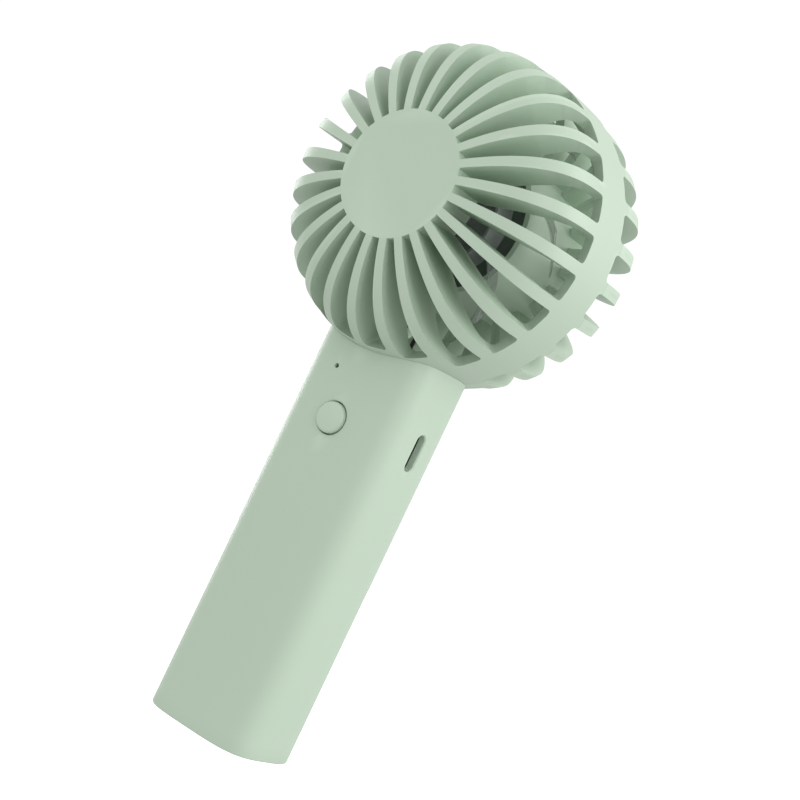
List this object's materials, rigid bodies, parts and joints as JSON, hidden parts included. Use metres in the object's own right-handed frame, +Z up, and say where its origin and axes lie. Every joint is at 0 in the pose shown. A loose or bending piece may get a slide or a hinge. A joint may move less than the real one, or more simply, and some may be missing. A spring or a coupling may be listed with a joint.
{
  "type": "handheld electric fan",
  "caption": "Handheld rechargeable fan: a round ribbed cage head with an impeller, on a straight rounded handle with a push button, indicator and charging port.",
  "frame": {"origin": "centre of the handle's flat bottom face", "axes": "+Z up along the handle to the head, the fan blows towards -Y, +X is to the right for someone facing the fan"},
  "size_m": [0.0818, 0.0616, 0.1835],
  "materials": {
    "shell_green": "satin pale sage green moulded plastic",
    "smoke_clear": null,
    "dark_plastic": "fine-textured dark grey plastic",
    "black_plastic": "plain black moulded plastic",
    "white_plastic": "plain off-white plastic",
    "clear_plastic": null,
    "board_green": "green solder mask",
    "steel": "plain plated steel",
    "bronze": null,
    "copper_wire": null,
    "ferrite": "dull black bonded ferrite",
    "cell_wrap": "heat-shrunk blue wrap",
    "foam": "black closed-cell foam",
    "red_lead": "red wire insulation",
    "black_lead": "black wire insulation"
  },
  "bodies": {
    "fan_body": {"front_housing": "shell_green", "rear_housing": "shell_green", "motor_cover": "dark_plastic", "motor_base": "black_plastic", "motor_pcb": "board_green", "stator_core": "steel", "stator_windings": "copper_wire", "front_bearing": "bronze", "rear_bearing": "bronze", "motor_screw_1": "steel", "motor_screw_2": "steel", "motor_screw_3": "steel", "handle_shell": "shell_green", "base_cap": "shell_green", "base_screw_1": "steel", "base_screw_2": "steel", "battery_cradle": "black_plastic", "neck_screw_1": "steel", "neck_screw_2": "steel", "battery_cell": "cell_wrap", "battery_tab_positive": "steel", "battery_tab_negative": "steel", "battery_foam_pad": "foam", "main_pcb": "board_green", "pcb_screw_1": "steel", "pcb_screw_2": "steel", "usb_c_shell": "steel", "usb_c_tongue": "black_plastic", "tact_switch_body": "black_plastic", "indicator_led": "white_plastic", "light_pipe": "clear_plastic", "charge_chip": "black_plastic", "motor_driver_chip": "black_plastic", "inductor": "ferrite", "capacitor": "steel", "lead_connector": "white_plastic", "motor_lead_positive": "red_lead", "motor_lead_negative": "black_lead"},
    "rotor": {"impeller": "smoke_clear", "impeller_nut": "dark_plastic", "motor_shaft": "steel", "rotor_can": "steel", "magnet_ring": "ferrite"},
    "button": {"button_cap": "shell_green", "switch_plunger": "black_plastic"}
  },
  "joints": [
    {"name": "impeller_spin", "type": "hinge", "parent": "fan_body", "child": "rotor", "pos_m": [0, 0, 0.1425], "axis": [0, -1, 0], "continuous": true},
    {"name": "button_press", "type": "slide", "parent": "fan_body", "child": "button", "axis": [0, 1, 0], "range_m": [0, 0.0008], "stiffness_N_per_m": 300, "springref_m": -0.0005}
  ]
}
